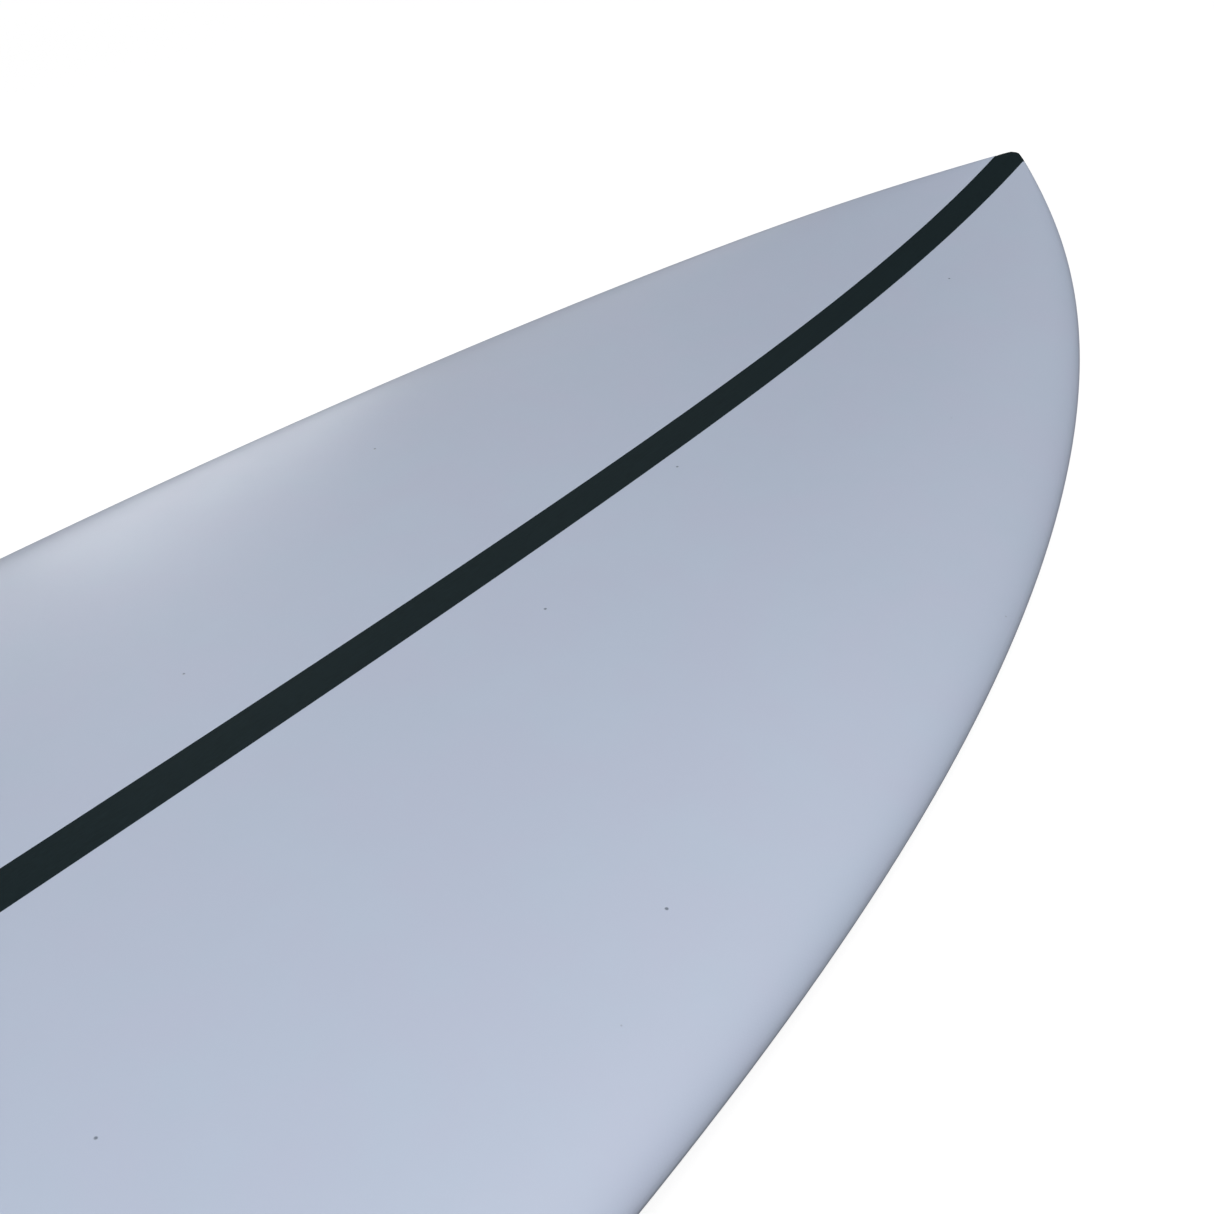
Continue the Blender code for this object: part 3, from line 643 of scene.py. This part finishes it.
def make_fin_set(skin):
    """Three fins in their boxes, each held by two grub screws; the boxes' holes go into the skin."""
    holes = []
    for label, side in (("left", 1), ("centre", 0), ("right", -1)):
        station = SIDE_FIN_STATION if side else CENTRE_FIN_STATION
        place = belly_frame(station, side * SIDE_FIN_OFFSET, -side * FIN_TOE, side * FIN_CANT)
        screw_side = -1 if side > 0 else 1
        box_place = place @ Matrix.Rotation(pi if screw_side < 0 else 0.0, 4, "Z")
        box = make_box(label, box_place)
        add_part(box, f"fin_box_{label}", "board", "box")
        for name, x in (("front", TAB_OFFSET), ("rear", -TAB_OFFSET)):
            node = f"grub_screw_{label}_{name}"
            screw = make_grub_screw(f"{node}_threaded", place @ screw_frame(x, screw_side))
            add_part(screw, node, node, "screw", STEEL_SHARP)
        fin = make_fin(label, -side, place)
        add_part(fin, f"fin_{label}", f"fin_{label}", "fin", FIN_SHARP)
        hole = prism("hole", box_stadium(SEAM), -REACH, BOX_DEPTH)
        holes.append(new_object(f"hole_{label}", hole, place))
    cut(skin, holes)


# Plugs

def rounded(profile, radius, closed):
    """Profile with its corners rounded, except those on the axis and the ends of an open one."""
    result = []
    for i, corner in enumerate(profile):
        here = Vector(corner)
        if here.x == 0.0 or (not closed and i in (0, len(profile) - 1)):
            result.append(corner)
            continue
        before = Vector(profile[i - 1]) - here
        after = Vector(profile[(i + 1) % len(profile)]) - here
        start = here + before.normalized() * min(radius, before.length / 2.0)
        end = here + after.normalized() * min(radius, after.length / 2.0)
        for step in range(EDGE_STEPS + 1):
            share = step / EDGE_STEPS
            point = (1 - share) ** 2 * start + 2 * share * (1 - share) * here + share ** 2 * end
            result.append(tuple(point))
    return result


def turned_piece(name, profile, closed, place, edge):
    """Piece turned about its frame's Z axis, with rounded edges."""
    return new_object(name, turned(name, rounded(profile, edge, closed), closed), place)


def plug_hole(label, rim, place):
    """Cutter for a plug's flange hole in the deck laminate."""
    hole = prism("hole", circle(rim + SEAM, RIM_SIDES), -REACH, REACH)
    return new_object(f"hole_{label}", hole, place)


def make_leash_plug(skin):
    """Cup let into the deck, with a steel bar across it."""
    place = deck_frame(LEASH_STATION, LEASH_OFFSET)
    profile = [(0.0, -LEASH_FLOOR), (LEASH_BORE, -LEASH_FLOOR), (LEASH_BORE, 0.0), (LEASH_RIM, 0.0),
               (LEASH_RIM, -LEASH_FLANGE), (LEASH_BODY, -LEASH_FLANGE), (LEASH_BODY, -LEASH_DEPTH),
               (0.0, -LEASH_DEPTH)]
    cup = turned_piece("leash_cup", profile, False, place, PLUG_EDGE)
    across = Matrix.Translation((0.0, 0.0, -BAR_DEPTH)) @ Matrix.Rotation(pi / 2.0, 4, "X")
    reach = LEASH_BORE + BAR_SOCKET
    socket = prism("bar_socket", circle(BAR_RADIUS + BAR_CLEARANCE, SOCKET_SIDES), -reach, reach)
    cut(cup, [new_object("bar_socket", socket, place @ across)])
    add_part(cup, "leash_plug_cup", "board", "plug")

    end = reach - GAP
    profile = [(0.0, end), (BAR_RADIUS, end), (BAR_RADIUS, -end), (0.0, -end)]
    bar = turned_piece("leash_bar", profile, False, place @ across, BAR_RADIUS * BAR_EDGE)
    add_part(bar, "leash_plug_bar", "board", "bar", STEEL_SHARP)
    cut(skin, [plug_hole("leash", LEASH_RIM, place)])


def make_vent_plug(skin):
    """Bush through the deck that lets the foam's air out, closed by a screw."""
    place = deck_frame(VENT_STATION, VENT_OFFSET)
    profile = [(VENT_BORE, -VENT_SEAT_DEPTH), (VENT_SEAT_RADIUS, -VENT_SEAT_DEPTH),
               (VENT_SEAT_RADIUS, 0.0), (VENT_RIM, 0.0), (VENT_RIM, -VENT_FLANGE),
               (VENT_BODY, -VENT_FLANGE), (VENT_BODY, -VENT_DEPTH), (VENT_BORE, -VENT_DEPTH)]
    bush = turned_piece("vent_bush", profile, True, place, PLUG_EDGE)
    add_part(bush, "vent_plug_body", "board", "vent")

    head_low = -VENT_SEAT_DEPTH + 2.0 * GAP + 2.0 * SEAL_MINOR
    head_top = head_low + VENT_HEAD
    end = head_top - VENT_SCREW_LENGTH
    profile = [(0.0, head_top), (VENT_HEAD_RADIUS, head_top), (VENT_HEAD_RADIUS, head_low),
               (VENT_SHANK, head_low), (VENT_SHANK, end), (0.0, end)]
    screw = turned_piece("vent_screw_slotted", profile, False, place, PLUG_EDGE)
    outline = rectangle(2.0 * VENT_RIM, COIN_SLOT_WIDTH)
    slot = prism("coin_slot", outline, head_top - COIN_SLOT_DEPTH, REACH)
    cut(screw, [new_object("coin_slot", slot, place)])
    add_part(screw, "vent_plug_screw", "vent_plug_screw", "screw")
    cut(skin, [plug_hole("vent", VENT_RIM, place)])


# Materials

def add_node(tree, kind, inputs=None, **settings):
    """New node; an input is given by name or number, as a value or as another node's output."""
    node = tree.nodes.new(kind)
    for key, value in settings.items():
        setattr(node, key, value)
    for key, value in (inputs or {}).items():
        if isinstance(value, bpy.types.NodeSocket):
            tree.links.new(value, node.inputs[key])
        else:
            node.inputs[key].default_value = value
    return node


class Finish:
    """A procedural material under construction."""

    def __init__(self, name, colour, roughness, metallic=0.0, specular=0.5):
        self.material = bpy.data.materials.new(name)
        self.material.use_nodes = True
        self.tree = self.material.node_tree
        self.shader = self.tree.nodes["Principled BSDF"]
        self.shader.inputs["Base Color"].default_value = (*colour, 1.0)
        self.shader.inputs["Roughness"].default_value = roughness
        self.shader.inputs["Metallic"].default_value = metallic
        self.shader.inputs["Specular IOR Level"].default_value = specular
        self.place = self.node("ShaderNodeTexCoord").outputs["Object"]

    def node(self, kind, inputs=None, **settings):
        """New node in this material."""
        return add_node(self.tree, kind, inputs, **settings)

    def math(self, operation, *values):
        """Result of a sum."""
        return self.node("ShaderNodeMath", dict(enumerate(values)), operation=operation).outputs[0]

    def stretched(self, scale):
        """Object coordinates multiplied by (x, y, z)."""
        return self.node("ShaderNodeMapping", {"Vector": self.place, "Scale": scale}).outputs[0]

    def noise(self, scale, detail=2.0, place=None):
        """Smooth noise from 0 to 1, with about as many swells in a metre as its scale says."""
        inputs = {"Vector": place or self.place, "Scale": scale, "Detail": detail}
        return self.node("ShaderNodeTexNoise", inputs).outputs["Fac"]

    def spread(self, value, new_low, new_high, low=NOISE_LOW, high=NOISE_HIGH):
        """Value mapped from a range, by default a noise's usual one, to a new range and held there."""
        inputs = {"Value": value, "From Min": low, "From Max": high,
                  "To Min": new_low, "To Max": new_high}
        return self.node("ShaderNodeMapRange", inputs).outputs[0]

    def blend(self, factor, first, second):
        """Colour between two others."""
        first, second = (colour if isinstance(colour, bpy.types.NodeSocket) else (*colour, 1.0)
                         for colour in (first, second))
        mix = self.node("ShaderNodeMix", {0: factor, 6: first, 7: second}, data_type="RGBA")
        return mix.outputs[2]

    def weave(self, pitch, place=None):
        """Plain weave's height, 0 to 1: threads of one pitch that go over and under each other."""
        axes = self.node("ShaderNodeSeparateXYZ", {0: place or self.place})
        along = self.math("SINE", self.math("MULTIPLY", axes.outputs[0], pi / pitch))
        across = self.math("SINE", self.math("MULTIPLY", axes.outputs[1], pi / pitch))
        return self.math("MULTIPLY_ADD", self.math("MULTIPLY", along, across), 0.5, 0.5)

    def colour(self, output):
        """Drive the base colour."""
        self.tree.links.new(output, self.shader.inputs["Base Color"])

    def roughness(self, output):
        """Drive the roughness."""
        self.tree.links.new(output, self.shader.inputs["Roughness"])

    def bump(self, height, distance, strength=1.0):
        """Add relief, over any that is already there."""
        normal = self.shader.inputs["Normal"]
        inputs = {"Height": height, "Distance": distance, "Strength": strength}
        if normal.is_linked:
            inputs["Normal"] = normal.links[0].from_socket
        self.tree.links.new(self.node("ShaderNodeBump", inputs).outputs[0], normal)


def scaled(colour, factor):
    """Colour made lighter or darker."""
    return tuple(channel * factor for channel in colour)


def laminate_finish():
    """Sanded, spray-tinted glass laminate: faint cloth weave, cloudy tint, a few pinholes: sunk pits
    darkened with painted shade.
    """
    finish = Finish("tinted_laminate", LAMINATE_COLOUR, LAMINATE_ROUGHNESS, specular=LAMINATE_SPECULAR)
    clouds = finish.spread(finish.noise(3.5, detail=3.0), 0.0, 1.0)
    tint = finish.blend(clouds, scaled(LAMINATE_COLOUR, 0.985), scaled(LAMINATE_COLOUR, 1.015))
    fine = finish.noise(60.0, detail=4.0)
    specks = finish.spread(fine, 0.0, 0.25, low=0.35, high=0.65)
    tint = finish.blend(specks, tint, scaled(LAMINATE_COLOUR, 1.03))
    warm = tuple(channel * factor for channel, factor in zip(LAMINATE_COLOUR, MOTTLE_WARM))
    patches = finish.spread(finish.noise(26.0), 0.0, 0.6, low=0.35, high=0.65)
    tint = finish.blend(patches, tint, warm)
    # Pinholes: the bump below sinks them, and their dark colour is painted shade in the pits
    cells = finish.node("ShaderNodeTexVoronoi", {"Vector": finish.place, "Scale": 1.0 / PINHOLE_SPACING})
    edge = PINHOLE_RADIUS / PINHOLE_SPACING
    hole = finish.spread(cells.outputs["Distance"], 1.0, 0.0, low=edge * 0.6, high=edge)
    finish.colour(finish.blend(hole, tint, PINHOLE_SHADE_COLOUR))
    scuffs = finish.noise(9.0, detail=5.0)
    finish.roughness(finish.spread(scuffs, LAMINATE_ROUGHNESS - 0.03, LAMINATE_ROUGHNESS + 0.03))
    finish.bump(finish.weave(CLOTH_PITCH), distance=0.00001, strength=0.5)
    finish.bump(fine, distance=0.00004, strength=0.25)
    finish.bump(hole, distance=-0.0002, strength=0.8)
    return finish.material


def strip_finish():
    """Unidirectional carbon tape under a sanded coat: near black, with fine streaks along the board."""
    finish = Finish("carbon_tape", STRIP_COLOUR, 0.5, specular=STRIP_SPECULAR)
    streaks = finish.noise(1.0, detail=3.0, place=finish.stretched((14.0, 2600.0, 2600.0)))
    dark, light = scaled(STRIP_COLOUR, 0.8), scaled(STRIP_COLOUR, 1.25)
    tint = finish.blend(finish.spread(streaks, 0.0, 1.0), dark, light)
    patches = finish.noise(1.0, detail=2.0, place=finish.stretched((6.0, 120.0, 120.0)))
    share = finish.spread(patches, 0.0, 0.4, low=0.35, high=0.65)
    finish.colour(finish.blend(share, tint, scaled(STRIP_COLOUR, 1.1)))
    finish.roughness(finish.spread(streaks, 0.42, 0.485, low=0.17, high=1.0))
    finish.bump(streaks, distance=0.00002, strength=0.3)
    return finish.material


def fin_finish():
    """Resin-moulded black composite: cloth weave under a gloss skin, with light sanding marks."""
    finish = Finish("fin_composite", FIN_COLOUR, 0.3)
    upright = {"Vector": finish.place, "Rotation": (pi / 2.0, radians(45.0), 0.0)}
    weave = finish.weave(FIN_CLOTH_PITCH, finish.node("ShaderNodeMapping", upright).outputs[0])
    finish.colour(finish.blend(weave, scaled(FIN_COLOUR, 0.75), scaled(FIN_COLOUR, 1.7)))
    marks = finish.noise(1.0, detail=4.0, place=finish.stretched((30.0, 600.0, 900.0)))
    finish.roughness(finish.spread(marks, 0.24, 0.36))
    finish.bump(weave, distance=0.00002, strength=0.2)
    finish.bump(marks, distance=0.00001, strength=0.2)
    return finish.material


def plastic_finish(name, colour, roughness):
    """Moulded plastic with a fine grain and slight flow marks."""
    finish = Finish(name, colour, roughness)
    grain = finish.noise(2200.0, detail=2.0)
    flow = finish.spread(finish.noise(90.0, detail=4.0), 0.0, 1.0)
    finish.colour(finish.blend(flow, scaled(colour, 0.85), scaled(colour, 1.2)))
    finish.roughness(finish.spread(grain, roughness - 0.06, roughness + 0.06))
    finish.bump(grain, distance=0.00004, strength=0.3)
    return finish.material


def steel_finish(name, marks_per_metre):
    """Machined stainless steel, with fine turning or drawing marks."""
    finish = Finish(name, STEEL_COLOUR, 0.25, metallic=1.0)
    marks = finish.noise(1.0, detail=4.0, place=finish.stretched(marks_per_metre))
    stain = finish.spread(finish.noise(260.0, detail=3.0), 0.0, 1.0, low=0.35, high=0.7)
    finish.colour(finish.blend(stain, STEEL_COLOUR, scaled(STEEL_COLOUR, 0.9)))
    finish.roughness(finish.spread(marks, 0.25, 0.40))
    finish.bump(marks, distance=0.00001, strength=0.3)
    return finish.material


def foam_finish(name, colour, bead):
    """Moulded foam of beads or cells of one size, with painted shade in the sunk gaps between them."""
    finish = Finish(name, colour, 0.9, specular=0.2)
    cells = finish.node("ShaderNodeTexVoronoi", {"Vector": finish.place, "Scale": 1.0 / bead})
    # Painted shade: darker towards the sunk gaps between beads or cells
    painted_gap_shade = finish.spread(cells.outputs["Distance"], 0.0, 1.0, low=0.35, high=0.75)
    finish.colour(finish.blend(painted_gap_shade, scaled(colour, 1.04), scaled(colour, 0.8)))
    finish.bump(cells.outputs["Distance"], distance=-bead * 0.2, strength=0.6)
    return finish.material


def rubber_finish():
    """Moulded black rubber."""
    finish = Finish("moulded_rubber", RUBBER_COLOUR, 0.6, specular=0.3)
    bloom = finish.noise(1400.0, detail=3.0)
    finish.colour(finish.blend(bloom, scaled(RUBBER_COLOUR, 0.7), scaled(RUBBER_COLOUR, 1.6)))
    finish.roughness(finish.spread(bloom, 0.5, 0.7))
    finish.bump(bloom, distance=0.00003, strength=0.3)
    return finish.material


def dress_frame():
    """Put materials on the CAD nodes that stay."""
    nodes = frame["nodes"]
    dressed = {"foam_core": materials["foam"], "vent_plug_seal": materials["rubber"]}
    for label in ("left", "centre", "right"):
        dressed[f"fin_insert_{label}"] = materials["dense_foam"]
    for name, material in dressed.items():
        for place in nodes[name].material_slots:
            place.material = material


# Stage

def make_floor():
    """Pale floor: near white to the camera, with a soft shadow, and a weak bounce on the board."""
    mesh = bpy.data.meshes.new("floor")
    half = FLOOR_SIZE / 2.0
    corners = [(-half, -half, 0.0), (half, -half, 0.0), (half, half, 0.0), (-half, half, 0.0)]
    mesh.from_pydata(corners, [], [(0, 1, 2, 3)])
    floor = bpy.data.objects.new("floor", mesh)
    floor.location.z = -FLOOR_DROP
    bpy.context.scene.collection.objects.link(floor)
    material = bpy.data.materials.new("floor_paper")
    material.use_nodes = True
    tree = material.node_tree
    tree.nodes.clear()
    place = add_node(tree, "ShaderNodeTexCoord").outputs["Object"]
    distance = add_node(tree, "ShaderNodeVectorMath", {0: place}, operation="LENGTH").outputs["Value"]
    inputs = {"Value": distance, "From Min": FLOOR_FADE_START, "From Max": FLOOR_FADE_END,
              "To Min": FLOOR_GLOW, "To Max": 1.0}
    fading = add_node(tree, "ShaderNodeMapRange", inputs, interpolation_type="SMOOTHSTEP")
    glow = add_node(tree, "ShaderNodeEmission", {"Strength": fading.outputs["Result"]}).outputs[0]
    paper = add_node(tree, "ShaderNodeBsdfDiffuse", {"Color": (*FLOOR_SEEN, 1.0)}).outputs[0]
    seen = add_node(tree, "ShaderNodeAddShader", {0: paper, 1: glow}).outputs[0]
    bounce = add_node(tree, "ShaderNodeBsdfDiffuse", {"Color": (*FLOOR_BOUNCE, 1.0)}).outputs[0]
    camera_ray = add_node(tree, "ShaderNodeLightPath").outputs["Is Camera Ray"]
    mix = add_node(tree, "ShaderNodeMixShader", {0: camera_ray, 1: bounce, 2: seen}).outputs[0]
    add_node(tree, "ShaderNodeOutputMaterial", {0: mix})
    mesh.materials.append(material)


def make_world():
    """Surroundings that are white to the camera and a dim fill to everything else."""
    world = bpy.data.worlds.new("studio")
    world.use_nodes = True
    bpy.context.scene.world = world
    tree = world.node_tree
    background = tree.nodes["Background"]
    background.inputs["Color"].default_value = (1.0, 1.0, 1.0, 1.0)
    camera_ray = add_node(tree, "ShaderNodeLightPath").outputs["Is Camera Ray"]
    pick = add_node(tree, "ShaderNodeMix", {"Factor": camera_ray, "A": WORLD_LIGHT, "B": WORLD_SEEN})
    tree.links.new(pick.outputs["Result"], background.inputs["Strength"])


def make_softbox(name, compass, elevation, distance, size, power):
    """Square area light aimed at the board."""
    level = cos(radians(elevation))
    heading = radians(compass)
    direction = Vector((level * cos(heading), level * sin(heading), sin(radians(elevation))))
    data = bpy.data.lights.new(name, "AREA")
    data.size = size
    data.energy = power
    light = bpy.data.objects.new(name, data)
    light.location = LIGHT_TARGET + distance * direction
    light.rotation_euler = direction.to_track_quat("Z", "Y").to_euler()
    bpy.context.scene.collection.objects.link(light)


def make_camera():
    """Camera over the board's middle, looking along it at the nose."""
    data = bpy.data.cameras.new("camera")
    data.lens = CAMERA_LENS
    data.sensor_width = CAMERA_SENSOR
    data.clip_start, data.clip_end = CAMERA_CLIP
    camera = bpy.data.objects.new("camera", data)
    turn = Vector(CAMERA_LOOK).to_track_quat("-Z", "Y").to_matrix().to_4x4()
    local = Matrix.Translation(CAMERA_PLACE) @ turn @ Matrix.Rotation(CAMERA_ROLL, 4, "Z")
    camera.matrix_world = BOARD @ local
    bpy.context.scene.collection.objects.link(camera)
    bpy.context.scene.camera = camera


BOARD = frame_from_vent()
materials = {
    "laminate": laminate_finish(),
    "strip": strip_finish(),
    "fin": fin_finish(),
    "box": plastic_finish("grained_box_plastic", BOX_COLOUR, BOX_ROUGHNESS),
    "plug": plastic_finish("grained_plug_plastic", PLUG_COLOUR, PLUG_ROUGHNESS),
    "vent": plastic_finish("grained_vent_plastic", VENT_COLOUR, VENT_ROUGHNESS),
    "screw": steel_finish("turned_steel", SCREW_MARKS),
    "bar": steel_finish("drawn_steel", BAR_MARKS),
    "foam": foam_finish("bead_foam", FOAM_COLOUR, FOAM_BEAD),
    "dense_foam": foam_finish("fine_foam", DENSE_FOAM_COLOUR, DENSE_FOAM_CELL),
    "rubber": rubber_finish(),
}
deck, bottom = make_hull()
make_fin_set(bottom)
make_leash_plug(deck)
make_vent_plug(deck)
for laminate in (deck, bottom):
    laminate.data.materials.clear()
    laminate.data.materials.append(materials["laminate"])
    smooth(laminate)
    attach(laminate, "board")
dress_frame()

make_floor()
make_world()
for softbox in SOFTBOXES:
    make_softbox(*softbox)
make_camera()
bpy.context.scene.view_settings.view_transform = "Standard"
